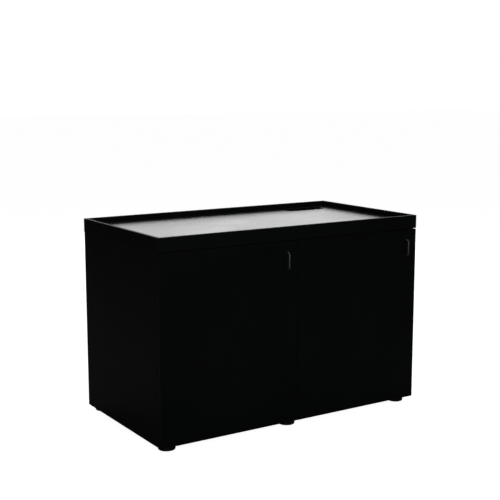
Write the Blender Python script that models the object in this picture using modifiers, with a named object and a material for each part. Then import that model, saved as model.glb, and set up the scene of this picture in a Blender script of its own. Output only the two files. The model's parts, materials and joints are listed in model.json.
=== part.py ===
"""Aquarium stand cabinet: a board carcass on six feet, with a rimmed recess on top.

The cabinet stands on z = 0 and its front faces -Y. The origin is the bottom centre of
the whole box, handles included. A rim of four boards stands round the top panel, so
that a rimless tank sits inside it. Both doors hang on their left side, each on two
concealed cup hinges that have a real pin at each end of one link.
"""
import math

import bmesh
import bpy
from mathutils import Matrix, Vector

# Overall size in metres.
WIDTH = 1.200
BODY_DEPTH = 0.640
HEIGHT = 0.795
FOOT_HEIGHT = 0.020
HANDLE_PROJECTION = 0.028

# Boards and the gaps between them.
BOARD = 0.016
TOP_BOARD = 2 * BOARD
BACK_BOARD = 0.008
RIM_BOARD = 0.012
RIM_HEIGHT = 0.054
RIM_OVERHANG = 0.001
GAP = 0.0003
EDGE_RADIUS = 0.001
DOOR_GAP = 0.003
DOOR_BACK_GAP = 0.002
DOOR_BOTTOM_STEP = 0.002
FRONT_RAIL_HEIGHT = 0.060
FRONT_RAIL_SETBACK = 0.004

# Planes that the boards share.
FRONT = -(BODY_DEPTH - HANDLE_PROJECTION) / 2
BACK = FRONT + BODY_DEPTH
HALF_BODY = WIDTH / 2 - RIM_OVERHANG
CARCASS_FRONT = FRONT + BOARD + DOOR_BACK_GAP
CARCASS_BACK = BACK - RIM_OVERHANG
BOTTOM_TOP = FOOT_HEIGHT + BOARD
RIM_BOTTOM = HEIGHT - RIM_HEIGHT
INNER_SIDE = HALF_BODY - BOARD
HALF_DIVIDER = BOARD / 2
DOOR_LOW = FOOT_HEIGHT + DOOR_BOTTOM_STEP
DOOR_HIGH = RIM_BOTTOM - DOOR_GAP

# Openings for hoses, pipes and cables: centre and size, with one corner radius.
CORNER_RADIUS = 0.025
BACK_OPENING_X = 0.330
BACK_OPENING_Z = 0.560
BACK_OPENING_SIZE = (0.240, 0.140)
DIVIDER_OPENING_Y = 0.180
DIVIDER_OPENING_Z = 0.500
DIVIDER_OPENING_SIZE = (0.140, 0.100)
TOP_OPENING_X = 0.430
TOP_OPENING_Y = 0.255
TOP_OPENING_SIZE = (0.200, 0.070)

# Feet and their screws.
FOOT_RADIUS = 0.0325
FOOT_CHAMFER = 0.0025
FOOT_SIDE_INSET = 0.051
FOOT_FRONT_INSET = 0.051
FOOT_REAR_INSET = 0.036
FOOT_CENTRE_X = -0.013
FOOT_BORE = 0.0025
FOOT_RECESS_RADIUS = 0.007
FOOT_RECESS_DEPTH = 0.008
FOOT_SCREW_RADIUS = 0.002
FOOT_SCREW_DEPTH = 0.013

# Bow handles and their screws. Each inset is from the door's free edge.
HANDLE_SPACING = 0.064
HANDLE_RADIUS = 0.004
HANDLE_BEND = 0.012
HANDLE_INSET = {"left": 0.053, "right": 0.060}
HANDLE_Z = 0.665
HANDLE_SCREW_RADIUS = 0.002
HANDLE_SCREW_BITE = 0.009

# Pan heads of the screws: radius and height of each, then shares of those sizes.
FOOT_HEAD = (0.0045, 0.0028)
HANDLE_HEAD = (0.0040, 0.0024)
HINGE_HEAD = (0.0045, 0.0026)
HEAD_CROWN_SHARE = 0.45
HEAD_FLAT_SHARE = 0.70
SCREW_TIP_SHARE = 0.80

# Door bumpers.
BUMPER_RADIUS = 0.003
BUMPER_END_INSET = 0.040

# Cup hinges, measured from the door's hinge edge (x) and from its outer face (y).
HINGE_END_INSET = 0.100
ARM_PIN = Vector((0.0310, 0.0230, 0.0))
CUP_PIN = Vector((0.0090, 0.0098, 0.0))
LINK_ELBOW = Vector((0.0200, 0.0062, 0.0))
PIN_RADIUS = 0.0011
PIN_HOLE = 0.0014
LINK_THICKNESS = 0.0022
LINK_HALF_WIDTH = 0.0060
LINK_CUP_BARREL = 0.0022
LINK_ARM_BARREL = 0.0024
CUP_CENTRE_X = 0.0215
CUP_RADIUS = 0.0175
CUP_CAVITY_RADIUS = 0.0165
CUP_BOTTOM = 0.0039
CUP_FLOOR = 0.0046
CUP_FLANGE_RADIUS = 0.0185
CUP_FLANGE_BACK = 0.0172
CUP_EAR_HALF_WIDTH = 0.0065
CUP_EAR_HALF_LENGTH = 0.0300
CUP_HOLE_RADIUS = 0.0178
CUP_HOLE_BOTTOM = 0.0036
ARM_HALF_WIDTH = 0.0085
ARM_SLOT_HALF_WIDTH = 0.0064
ARM_NOSE_RADIUS = 0.0034
ARM_SLOT_BACK = 0.0280
ARM_NECK = 0.0300
ARM_BACK = 0.0840
ARM_THICKNESS = 0.0060
ARM_CRANK_LENGTH = 0.0100
ARM_CRANK_SLOPE = 0.9
ARM_NECK_STEP = 0.0020
ARM_EDGE = 0.0006
ARM_PIN_INSET = 0.0010
CUP_PIN_BITE = 0.0005
PRESSED_CORNER = 0.0040
PLATE_THICKNESS = 0.0020
PLATE_HALF_HEIGHT = 0.0240
PLATE_FRONT = 0.0460
PLATE_BACK = 0.0640
SADDLE_HEIGHT = 0.0080
SADDLE_HALF_WIDTH = 0.0060
SADDLE_FRONT = 0.0420
SADDLE_BACK = 0.0780
ARM_SCREW_Y = 0.0700
ARM_SCREW_RADIUS = 0.0025
ARM_SCREW_DEPTH = 0.0050

# Facets of round shapes, and how close two points must be to be one.
TURN_STEPS = 32
SMALL_TURN_STEPS = 16
SCREW_STEPS = 12
CORNER_STEPS = 6
NOSE_STEPS = 8
SMOOTH_BELOW = math.radians(30)
WELD_DISTANCE = 0.00001

# Colour, metallic and roughness of each material.
FINISHES = {
    "black_laminate": ((0.012, 0.012, 0.013), 0.0, 0.42),
    "satin_black_metal": ((0.030, 0.030, 0.032), 0.6, 0.35),
    "black_plastic": ((0.015, 0.015, 0.016), 0.0, 0.50),
    "nickel_plated_steel": ((0.620, 0.610, 0.590), 1.0, 0.28),
    "zinc_plated_screw": ((0.560, 0.560, 0.540), 1.0, 0.36),
    "clear_rubber": ((0.550, 0.560, 0.560), 0.0, 0.40),
}


# Scene and materials

def clear_scene():
    for obj in list(bpy.data.objects):
        bpy.data.objects.remove(obj)


def new_collection(name):
    collection = bpy.data.collections.new(name)
    bpy.context.scene.collection.children.link(collection)
    return collection


def make_materials():
    materials = {}
    for name, (colour, metallic, roughness) in FINISHES.items():
        material = bpy.data.materials.new(name)
        material.use_nodes = True
        shader = material.node_tree.nodes["Principled BSDF"]
        shader.inputs["Base Color"].default_value = (*colour, 1.0)
        shader.inputs["Metallic"].default_value = metallic
        shader.inputs["Roughness"].default_value = roughness
        materials[name] = material
    return materials


clear_scene()
PARTS = new_collection("aquarium_stand_cabinet")
CUTTERS = new_collection("cutters")
MATERIALS = make_materials()


# Shapes: each starts in the cutters' collection, as a tool or as raw stock

def shape_from_mesh(name, mesh):
    obj = bpy.data.objects.new(name, mesh)
    obj.hide_render = True
    obj.display_type = "WIRE"
    CUTTERS.objects.link(obj)
    return obj


def shape_from_bmesh(name, bm):
    mesh = bpy.data.meshes.new(name)
    bm.to_mesh(mesh)
    bm.free()
    return shape_from_mesh(name, mesh)


def box_shape(name, low, high):
    """A box between its lowest and its highest corner."""
    low = Vector(low)
    high = Vector(high)
    bm = bmesh.new()
    place = Matrix.LocRotScale((low + high) / 2, None, high - low)
    bmesh.ops.create_cube(bm, size=1.0, matrix=place)
    return shape_from_bmesh(name, bm)


def rounded_box_shape(name, centre, size, axis, radius=CORNER_RADIUS):
    """A box whose four edges along one axis (0, 1 or 2) are rounded."""
    bm = bmesh.new()
    bmesh.ops.create_cube(bm, size=1.0, matrix=Matrix.LocRotScale(centre, None, size))
    edges = []
    for edge in bm.edges:
        along = edge.verts[1].co - edge.verts[0].co
        if abs(along[axis]) > along.length / 2:
            edges.append(edge)
    bmesh.ops.bevel(
        bm, geom=edges, offset=radius, segments=CORNER_STEPS, profile=0.5, affect="EDGES")
    return shape_from_bmesh(name, bm)


def cylinder_shape(name, centre, radius, length, axis="Z", sides=TURN_STEPS):
    """A cylinder about its centre, along X, Y or Z."""
    turns = {
        "X": Matrix.Rotation(math.pi / 2, 4, "Y"),
        "Y": Matrix.Rotation(math.pi / 2, 4, "X"),
        "Z": Matrix.Identity(4),
    }
    bm = bmesh.new()
    bmesh.ops.create_cone(
        bm, cap_ends=True, segments=sides, radius1=radius, radius2=radius, depth=length,
        matrix=Matrix.Translation(centre) @ turns[axis],
    )
    return shape_from_bmesh(name, bm)


def turned_shape(name, profile, steps, closed=False):
    """A profile of (radius, z) points, turned about Z; it runs down its outer side."""
    points = [(radius, 0.0, z) for radius, z in profile]
    edges = [(i, i + 1) for i in range(len(points) - 1)]
    if closed:
        edges.append((len(points) - 1, 0))
    mesh = bpy.data.meshes.new(name)
    mesh.from_pydata(points, edges, [])
    obj = shape_from_mesh(name, mesh)
    screw = obj.modifiers.new("turn", "SCREW")
    screw.axis = "Z"
    screw.steps = steps
    screw.render_steps = steps
    screw.use_merge_vertices = True
    screw.merge_threshold = WELD_DISTANCE
    return obj


def outline_shape(name, points, half_height):
    """A flat outline of (x, y) points, thick along Z by twice half_height."""
    curve = bpy.data.curves.new(name, "CURVE")
    curve.dimensions = "2D"
    curve.fill_mode = "BOTH"
    curve.extrude = half_height
    spline = curve.splines.new("POLY")
    spline.points.add(len(points) - 1)
    for point, (x, y) in zip(spline.points, points):
        point.co = (x, y, 0.0, 1.0)
    spline.use_cyclic_u = True
    return shape_from_curve(name, curve)


def shape_from_curve(name, curve):
    """The closed mesh of a curve, with its caps welded on."""
    guide = bpy.data.objects.new(name + "_guide", curve)
    CUTTERS.objects.link(guide)
    graph = bpy.context.evaluated_depsgraph_get()
    mesh = bpy.data.meshes.new_from_object(guide.evaluated_get(graph))
    bm = bmesh.new()
    bm.from_mesh(mesh)
    bmesh.ops.remove_doubles(bm, verts=bm.verts, dist=WELD_DISTANCE)
    bm.to_mesh(mesh)
    bm.free()
    bpy.data.objects.remove(guide)
    return shape_from_mesh(name, mesh)


# Joining, cutting and finishing shapes

def boolean(target, tool, operation):
    modifier = target.modifiers.new(tool.name, "BOOLEAN")
    modifier.operation = operation
    modifier.solver = "EXACT"
    modifier.object = tool


def cut(target, tool):
    boolean(target, tool, "DIFFERENCE")


def fuse(target, tool):
    boolean(target, tool, "UNION")


def round_edges(shape, width=EDGE_RADIUS, segments=2):
    bevel = shape.modifiers.new("edges", "BEVEL")
    bevel.width = width
    bevel.segments = segments


def finished_mesh(shape, finish, origin=(0.0, 0.0, 0.0)):
    """A shape's final mesh, moved so that origin becomes its own zero point.

    The shape and the tools that its modifiers use are removed, so the mesh can be
    shared by several copies of the piece.
    """
    graph = bpy.context.evaluated_depsgraph_get()
    mesh = bpy.data.meshes.new_from_object(shape.evaluated_get(graph))
    mesh.transform(Matrix.Translation(-Vector(origin)))
    mesh.shade_smooth()
    mesh.set_sharp_from_angle(angle=SMOOTH_BELOW)
    mesh.materials.clear()
    mesh.materials.append(MATERIALS[finish])
    tools = [modifier.object for modifier in shape.modifiers if modifier.type == "BOOLEAN"]
    for used in [shape, *tools]:
        bpy.data.objects.remove(used)
    return mesh


def place(name, mesh, location, parent=None, rotation=(0.0, 0.0, 0.0)):
    """A piece at a world location, kept there under its parent."""
    obj = bpy.data.objects.new(name, mesh)
    obj.rotation_euler = rotation
    PARTS.objects.link(obj)
    attach(obj, location, parent)
    return obj


def attach(obj, location, parent):
    obj.location = location
    if parent is not None:
        obj.parent = parent
        obj.location = Vector(location) - world_location(parent)


def world_location(obj):
    total = Vector(obj.location)
    while obj.parent is not None:
        obj = obj.parent
        total += obj.location
    return total


def axis_empty(name, location, parent=None):
    empty = bpy.data.objects.new(name, None)
    empty.empty_display_size = 0.05
    PARTS.objects.link(empty)
    attach(empty, location, parent)
    return empty


def keep_as_part(shape, finish, parent=None):
    """Turns a shape with live modifiers into a part; its mesh is in world coordinates."""
    CUTTERS.objects.unlink(shape)
    PARTS.objects.link(shape)
    shape.hide_render = False
    shape.display_type = "TEXTURED"
    shape.data.materials.append(MATERIALS[finish])
    if parent is not None:
        shape.parent = parent
        shape.location = -world_location(parent)
    return shape


def board(name, low, high):
    shape = box_shape(name, low, high)
    round_edges(shape)
    return shape


# Carcass

def foot_places():
    """Name and (x, y) of each foot: three along the front and three along the rear."""
    rows = {"front": FRONT + FOOT_FRONT_INSET, "rear": BACK - FOOT_REAR_INSET}
    side = WIDTH / 2 - FOOT_SIDE_INSET
    columns = {"left": -side, "centre": FOOT_CENTRE_X, "right": side}
    return {
        f"{row}_{column}": (x, y)
        for row, y in rows.items()
        for column, x in columns.items()
    }


def make_bottom_panel():
    low = (-HALF_BODY, CARCASS_FRONT, FOOT_HEIGHT)
    high = (HALF_BODY, CARCASS_BACK, BOTTOM_TOP)
    panel = board("bottom_panel", low, high)
    depth = FOOT_SCREW_DEPTH + GAP
    for name, (x, y) in foot_places().items():
        centre = (x, y, FOOT_HEIGHT + depth / 2 - GAP)
        radius = FOOT_SCREW_RADIUS + GAP
        hole = cylinder_shape("foot_pilot_" + name, centre, radius, depth + 2 * GAP, "Z", SCREW_STEPS)
        cut(panel, hole)
    keep_as_part(panel, "black_laminate")


def make_uprights():
    """Two sides and the centre divider stand on the bottom panel."""
    low = BOTTOM_TOP + GAP
    high = RIM_BOTTOM - GAP
    left = board(
        "left_side_panel", (-HALF_BODY, CARCASS_FRONT, low), (-INNER_SIDE, CARCASS_BACK, high))
    right = board(
        "right_side_panel", (INNER_SIDE, CARCASS_FRONT, low), (HALF_BODY, CARCASS_BACK, high))
    divider = board(
        "centre_divider", (-HALF_DIVIDER, CARCASS_FRONT, low), (HALF_DIVIDER, CARCASS_BACK, high))
    opening = rounded_box_shape(
        "divider_opening",
        (0.0, DIVIDER_OPENING_Y, DIVIDER_OPENING_Z),
        (2 * BOARD, *DIVIDER_OPENING_SIZE),
        axis=0,
    )
    cut(divider, opening)
    for panel in (left, right, divider):
        keep_as_part(panel, "black_laminate")


def bay_sides(side):
    """Lowest and highest x of the space between a side panel and the divider."""
    inner = HALF_DIVIDER + GAP
    outer = INNER_SIDE - GAP
    if side == "left":
        return -outer, -inner
    return inner, outer


def make_front_rails():
    """A rail over each doorway, set back so that the handle screws clear it."""
    for side in ("left", "right"):
        x_low, x_high = bay_sides(side)
        top = RIM_BOTTOM - GAP
        front = CARCASS_FRONT + FRONT_RAIL_SETBACK
        low = (x_low, front, top - FRONT_RAIL_HEIGHT)
        high = (x_high, front + BOARD, top)
        keep_as_part(board("front_rail_" + side, low, high), "black_laminate")


def make_back_panels():
    """Each back panel sits between its side and the divider, with an opening for hoses."""
    for side, sign in (("left", -1), ("right", 1)):
        x_low, x_high = bay_sides(side)
        low = (x_low, CARCASS_BACK - BACK_BOARD, BOTTOM_TOP + GAP)
        high = (x_high, CARCASS_BACK, RIM_BOTTOM - GAP)
        panel = board("back_panel_" + side, low, high)
        width, height = BACK_OPENING_SIZE
        opening = rounded_box_shape(
            "back_opening_" + side,
            (sign * BACK_OPENING_X, CARCASS_BACK - BACK_BOARD / 2, BACK_OPENING_Z),
            (width, 3 * BACK_BOARD, height),
            axis=1,
        )
        cut(panel, opening)
        keep_as_part(panel, "black_laminate")


def make_top_panel():
    """The tank's bed, inside the rim, with an opening for pipes at the rear."""
    inset = RIM_BOARD + GAP
    low = (-WIDTH / 2 + inset, FRONT + inset, RIM_BOTTOM)
    high = (WIDTH / 2 - inset, BACK - inset, RIM_BOTTOM + TOP_BOARD)
    panel = board("top_panel", low, high)
    opening = rounded_box_shape(
        "top_opening",
        (TOP_OPENING_X, TOP_OPENING_Y, RIM_BOTTOM + TOP_BOARD / 2),
        (*TOP_OPENING_SIZE, 2 * TOP_BOARD),
        axis=2,
    )
    cut(panel, opening)
    keep_as_part(panel, "black_laminate")


def make_rim():
    """Front and rear boards run the full width; the side boards stand between them."""
    half = WIDTH / 2
    inner_front = FRONT + RIM_BOARD
    inner_back = BACK - RIM_BOARD
    boards = {
        "rim_front": ((-half, FRONT), (half, inner_front)),
        "rim_rear": ((-half, inner_back), (half, BACK)),
        "rim_left": ((-half, inner_front + GAP), (-half + RIM_BOARD, inner_back - GAP)),
        "rim_right": ((half - RIM_BOARD, inner_front + GAP), (half, inner_back - GAP)),
    }
    for name, (low, high) in boards.items():
        rim = board(name, (*low, RIM_BOTTOM), (*high, HEIGHT))
        keep_as_part(rim, "black_laminate")


# Feet

def foot_mesh():
    """A round foot with a recess underneath for its screw; z = 0 is the floor."""
    top = FOOT_HEIGHT - GAP
    profile = [
        (FOOT_RADIUS - EDGE_RADIUS, top),
        (FOOT_RADIUS, top - EDGE_RADIUS),
        (FOOT_RADIUS, FOOT_CHAMFER),
        (FOOT_RADIUS - FOOT_CHAMFER, 0.0),
        (FOOT_RECESS_RADIUS, 0.0),
        (FOOT_RECESS_RADIUS, FOOT_RECESS_DEPTH),
        (FOOT_BORE, FOOT_RECESS_DEPTH),
        (FOOT_BORE, top),
    ]
    return finished_mesh(turned_shape("foot", profile, TURN_STEPS, closed=True), "black_plastic")


def screw_mesh(name, shank_radius, length, head, finish):
    """A pan-head screw along Z: its head's underside is z = 0 and its tip points up."""
    head_radius, head_height = head
    crown = head_height * HEAD_CROWN_SHARE
    tip = shank_radius * SCREW_TIP_SHARE
    profile = [
        (0.0, length),
        (shank_radius - tip / 2, length),
        (shank_radius, length - tip),
        (shank_radius, 0.0),
        (head_radius, 0.0),
        (head_radius, -head_height + crown),
        (head_radius * HEAD_FLAT_SHARE, -head_height),
        (0.0, -head_height),
    ]
    return finished_mesh(turned_shape(name, profile, SCREW_STEPS), finish)


def make_feet():
    foot = foot_mesh()
    length = FOOT_HEIGHT - FOOT_RECESS_DEPTH + FOOT_SCREW_DEPTH
    screw = screw_mesh("foot_screw", FOOT_SCREW_RADIUS, length, FOOT_HEAD, "zinc_plated_screw")
    for name, (x, y) in foot_places().items():
        place("foot_" + name, foot, (x, y, 0.0))
        place("foot_screw_" + name, screw, (x, y, FOOT_RECESS_DEPTH - GAP))


# Cup hinges: shapes are drawn in the hinge's own frame, with z = 0 at its middle

def strap_shape(name, start, end):
    """A flat strap between two points, with round ends."""
    along = end - start
    side = Vector((-along.y, along.x, 0.0)).normalized() * LINK_THICKNESS / 2
    corners = [start - side, end - side, end + side, start + side]
    return outline_shape(name, [(corner.x, corner.y) for corner in corners], LINK_HALF_WIDTH)


def link_mesh():
    """Bent link: a barrel at each end and an elbow that reaches into the cup."""
    width = 2 * LINK_HALF_WIDTH
    link = cylinder_shape("link", ARM_PIN, LINK_ARM_BARREL, width, sides=SMALL_TURN_STEPS)
    fuse(link, strap_shape("link_outer_strap", LINK_ELBOW, ARM_PIN))
    fuse(link, cylinder_shape(
        "link_elbow", LINK_ELBOW, LINK_THICKNESS / 2, width, sides=SCREW_STEPS))
    fuse(link, strap_shape("link_inner_strap", CUP_PIN, LINK_ELBOW))
    fuse(link, cylinder_shape(
        "link_cup_barrel", CUP_PIN, LINK_CUP_BARREL, width, sides=SMALL_TURN_STEPS))
    for number, pin in enumerate((ARM_PIN, CUP_PIN)):
        hole = cylinder_shape(f"link_hole_{number}", pin, PIN_HOLE, 2 * width, sides=SCREW_STEPS)
        cut(link, hole)
    return finished_mesh(link, "nickel_plated_steel", origin=ARM_PIN)


def cup_mesh():
    """Cup with its flange, two ears and the pin that the link turns on."""
    centre_x = CUP_CENTRE_X
    flange_front = BOARD + GAP
    flange_y = (flange_front + CUP_FLANGE_BACK) / 2
    flange_thickness = CUP_FLANGE_BACK - flange_front
    cup_y = (CUP_BOTTOM + CUP_FLANGE_BACK) / 2
    cup_length = CUP_FLANGE_BACK - CUP_BOTTOM
    cup = cylinder_shape("cup", (centre_x, cup_y, 0.0), CUP_RADIUS, cup_length, "Y")
    fuse(cup, cylinder_shape(
        "cup_flange", (centre_x, flange_y, 0.0), CUP_FLANGE_RADIUS, flange_thickness, "Y"))
    fuse(cup, rounded_box_shape(
        "cup_ears", (centre_x, flange_y, 0.0),
        (2 * CUP_EAR_HALF_WIDTH, flange_thickness, 2 * CUP_EAR_HALF_LENGTH),
        axis=1, radius=PRESSED_CORNER,
    ))
    cut(cup, cylinder_shape(
        "cup_cavity", (centre_x, CUP_FLOOR + cup_length, 0.0),
        CUP_CAVITY_RADIUS, 2 * cup_length, "Y",
    ))
    chord = math.sqrt(CUP_CAVITY_RADIUS ** 2 - (centre_x - CUP_PIN.x) ** 2)
    length = 2 * (chord + CUP_PIN_BITE)
    fuse(cup, cylinder_shape("cup_pin", CUP_PIN, PIN_RADIUS, length, sides=SCREW_STEPS))
    return finished_mesh(cup, "nickel_plated_steel", origin=CUP_PIN)


def arm_outline(panel_face):
    """Outline of an arm: a round nose on its pin, a neck, and a bar over its plate."""
    bar_low = panel_face + SADDLE_HEIGHT + GAP
    bar_high = bar_low + ARM_THICKNESS
    crank = ARM_NECK + max(ARM_CRANK_LENGTH, (ARM_PIN.x - bar_low) * ARM_CRANK_SLOPE)
    nose = []
    for i in range(NOSE_STEPS + 1):
        angle = math.pi + math.pi * i / NOSE_STEPS
        x = ARM_PIN.x + ARM_NOSE_RADIUS * math.cos(angle)
        y = ARM_PIN.y + ARM_NOSE_RADIUS * math.sin(angle)
        nose.append((x, y))
    return nose + [
        (ARM_PIN.x + ARM_NOSE_RADIUS, ARM_NECK),
        (bar_high, crank),
        (bar_high, ARM_BACK),
        (bar_low, ARM_BACK),
        (bar_low, crank),
        (ARM_PIN.x - ARM_NOSE_RADIUS, ARM_NECK - ARM_NECK_STEP),
    ]


def arm_mesh(name, panel_face):
    """Forked arm with its fixed pin and a hole for the screw that holds it down."""
    arm = outline_shape(name, arm_outline(panel_face), ARM_HALF_WIDTH)
    round_edges(arm, ARM_EDGE, 1)
    reach = 2 * ARM_NOSE_RADIUS
    slot_low = (ARM_PIN.x - reach, ARM_PIN.y - reach, -ARM_SLOT_HALF_WIDTH)
    slot_high = (ARM_PIN.x + reach, ARM_SLOT_BACK, ARM_SLOT_HALF_WIDTH)
    cut(arm, box_shape(name + "_slot", slot_low, slot_high))
    length = 2 * (ARM_HALF_WIDTH - ARM_PIN_INSET)
    fuse(arm, cylinder_shape(name + "_pin", ARM_PIN, PIN_RADIUS, length, sides=SCREW_STEPS))
    hole = (panel_face + SADDLE_HEIGHT, ARM_SCREW_Y, 0.0)
    cut(arm, cylinder_shape(
        name + "_screw_hole", hole, ARM_SCREW_RADIUS + GAP, 4 * ARM_THICKNESS, "X", SCREW_STEPS))
    return finished_mesh(arm, "nickel_plated_steel")


def plate_mesh():
    """Mounting plate on the panel face x = 0: two wings and a raised saddle."""
    plate = rounded_box_shape(
        "plate",
        (GAP + PLATE_THICKNESS / 2, (PLATE_FRONT + PLATE_BACK) / 2, 0.0),
        (PLATE_THICKNESS, PLATE_BACK - PLATE_FRONT, 2 * PLATE_HALF_HEIGHT),
        axis=0, radius=PRESSED_CORNER,
    )
    fuse(plate, box_shape(
        "saddle",
        (GAP, SADDLE_FRONT, -SADDLE_HALF_WIDTH),
        (SADDLE_HEIGHT, SADDLE_BACK, SADDLE_HALF_WIDTH),
    ))
    cut(plate, cylinder_shape(
        "saddle_hole", (SADDLE_HEIGHT, ARM_SCREW_Y, 0.0),
        ARM_SCREW_RADIUS + GAP, 2 * (ARM_SCREW_DEPTH + GAP), "X", SCREW_STEPS,
    ))
    return finished_mesh(plate, "nickel_plated_steel")


def hinge_heights():
    return {"lower": DOOR_LOW + HINGE_END_INSET, "upper": DOOR_HIGH - HINGE_END_INSET}


def make_hinges(side, door_edge, panel_face, link_axis, door_axis, shared):
    """Two hinges of one door. panel_face is the panel's face, measured from the door's edge."""
    arm = arm_mesh("arm_" + side, panel_face)
    point_left = (0.0, -math.pi / 2, 0.0)
    for level, z in hinge_heights().items():
        corner = Vector((door_edge, FRONT, z))
        name = f"{side}_{level}"
        place("hinge_plate_" + name, shared["plate"], corner + Vector((panel_face, 0.0, 0.0)))
        place("hinge_arm_" + name, arm, corner)
        head_x = panel_face + SADDLE_HEIGHT + ARM_THICKNESS + 2 * GAP
        head = corner + Vector((head_x, ARM_SCREW_Y, 0.0))
        place("hinge_screw_" + name, shared["screw"], head, rotation=point_left)
        place("hinge_link_" + name, shared["link"], corner + ARM_PIN, link_axis)
        place("hinge_cup_" + name, shared["cup"], corner + CUP_PIN, door_axis)


# Doors and what they carry

def handle_path():
    """Points of the bow handle in its own frame: y is outward and z is along the door."""
    reach = HANDLE_PROJECTION - HANDLE_RADIUS - GAP
    half = HANDLE_SPACING / 2
    upper = [(0.0, half), ((reach - HANDLE_BEND) / 2, half)]
    for i in range(CORNER_STEPS + 1):
        angle = math.pi / 2 * i / CORNER_STEPS
        y = reach - HANDLE_BEND + HANDLE_BEND * math.sin(angle)
        z = half - HANDLE_BEND + HANDLE_BEND * math.cos(angle)
        upper.append((y, z))
    return upper + [(y, -z) for y, z in reversed(upper)]


def handle_mesh():
    """Bow handle of round bar; y = 0 is the door's face, and it stands out towards -Y."""
    curve = bpy.data.curves.new("handle", "CURVE")
    curve.dimensions = "3D"
    curve.bevel_depth = HANDLE_RADIUS
    curve.bevel_resolution = 4
    curve.use_fill_caps = True
    points = handle_path()
    spline = curve.splines.new("POLY")
    spline.points.add(len(points) - 1)
    for point, (y, z) in zip(spline.points, points):
        point.co = (0.0, -y, z, 1.0)
    bar = shape_from_curve("handle_bar", curve)
    for number, sign in enumerate((-1, 1)):
        centre = (0.0, 0.0, sign * HANDLE_SPACING / 2)
        cut(bar, cylinder_shape(
            f"handle_thread_{number}", centre,
            HANDLE_SCREW_RADIUS + GAP, 2 * (HANDLE_SCREW_BITE + GAP), "Y", SCREW_STEPS,
        ))
    return finished_mesh(bar, "satin_black_metal")


def make_door(side, hinge_edge, handle_edge, handle_x, door_axis):
    low = (min(hinge_edge, handle_edge), FRONT, DOOR_LOW)
    high = (max(hinge_edge, handle_edge), FRONT + BOARD, DOOR_HIGH)
    door = board(side + "_door", low, high)
    for level, z in hinge_heights().items():
        depth = 2 * (BOARD - CUP_HOLE_BOTTOM)
        centre = (hinge_edge + CUP_CENTRE_X, FRONT + BOARD, z)
        cut(door, cylinder_shape(
            f"{side}_cup_hole_{level}", centre, CUP_HOLE_RADIUS, depth, "Y"))
    for level, sign in (("lower", -1), ("upper", 1)):
        centre = (handle_x, FRONT, HANDLE_Z + sign * HANDLE_SPACING / 2)
        cut(door, cylinder_shape(
            f"{side}_handle_hole_{level}", centre,
            HANDLE_SCREW_RADIUS + GAP, 4 * BOARD, "Y", SCREW_STEPS,
        ))
    keep_as_part(door, "black_laminate", door_axis)


def make_handle(side, handle_x, door_axis, shared):
    place("handle_" + side, shared["handle"], (handle_x, FRONT - GAP, HANDLE_Z), door_axis)
    point_front = (math.pi / 2, 0.0, 0.0)
    for level, sign in (("lower", -1), ("upper", 1)):
        head = (handle_x, FRONT + BOARD + GAP, HANDLE_Z + sign * HANDLE_SPACING / 2)
        name = f"handle_screw_{side}_{level}"
        place(name, shared["handle_screw"], head, door_axis, point_front)


def make_bumpers(side, seat_x, door_axis, shared):
    """Two soft dots on the door's back face, over the front edge of an upright."""
    heights = {"lower": DOOR_LOW + BUMPER_END_INSET, "upper": DOOR_HIGH - BUMPER_END_INSET}
    for level, z in heights.items():
        place(f"bumper_{side}_{level}", shared["bumper"], (seat_x, FRONT + BOARD, z), door_axis)


def bumper_mesh():
    thickness = DOOR_BACK_GAP - 2 * GAP
    centre = (0.0, GAP + thickness / 2, 0.0)
    dot = cylinder_shape("bumper", centre, BUMPER_RADIUS, thickness, "Y", SMALL_TURN_STEPS)
    return finished_mesh(dot, "clear_rubber")


def shared_meshes():
    bite = BOARD + HANDLE_SCREW_BITE
    return {
        "plate": plate_mesh(),
        "link": link_mesh(),
        "cup": cup_mesh(),
        "screw": screw_mesh(
            "hinge_screw", ARM_SCREW_RADIUS, ARM_THICKNESS + ARM_SCREW_DEPTH, HINGE_HEAD,
            "nickel_plated_steel"),
        "handle": handle_mesh(),
        "handle_screw": screw_mesh(
            "handle_screw", HANDLE_SCREW_RADIUS, bite, HANDLE_HEAD, "zinc_plated_screw"),
        "bumper": bumper_mesh(),
    }


def make_doors():
    """Each door turns on its cup pins, and its two links turn on the arm pins."""
    shared = shared_meshes()
    doors = {
        "left": (-HALF_BODY, -DOOR_GAP / 2, -INNER_SIDE, -HALF_DIVIDER / 2 - DOOR_GAP / 4),
        "right": (DOOR_GAP / 2, HALF_BODY, HALF_DIVIDER, HALF_BODY - BOARD / 2),
    }
    for side, (hinge_edge, handle_edge, panel_x, bumper_x) in doors.items():
        corner = Vector((hinge_edge, FRONT, 0.0))
        link_axis = axis_empty(side + "_link_axis", corner + ARM_PIN)
        door_axis = axis_empty(side + "_door_axis", corner + CUP_PIN, link_axis)
        handle_x = handle_edge - HANDLE_INSET[side]
        make_door(side, hinge_edge, handle_edge, handle_x, door_axis)
        make_hinges(side, hinge_edge, panel_x - hinge_edge, link_axis, door_axis, shared)
        make_handle(side, handle_x, door_axis, shared)
        make_bumpers(side, bumper_x, door_axis, shared)


make_bottom_panel()
make_uprights()
make_front_rails()
make_back_panels()
make_top_panel()
make_rim()
make_feet()
make_doors()
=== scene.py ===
"""Looks of the aquarium stand cabinet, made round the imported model.

The boards keep their CAD solids and get laminate. Handles, feet, screws, hinge cups and
arms and the bumpers are rebuilt in finer form, and the small fixings that only show with
a door open are added.
"""
import json
import math

import bmesh
import bpy
from mathutils import Matrix, Vector


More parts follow.
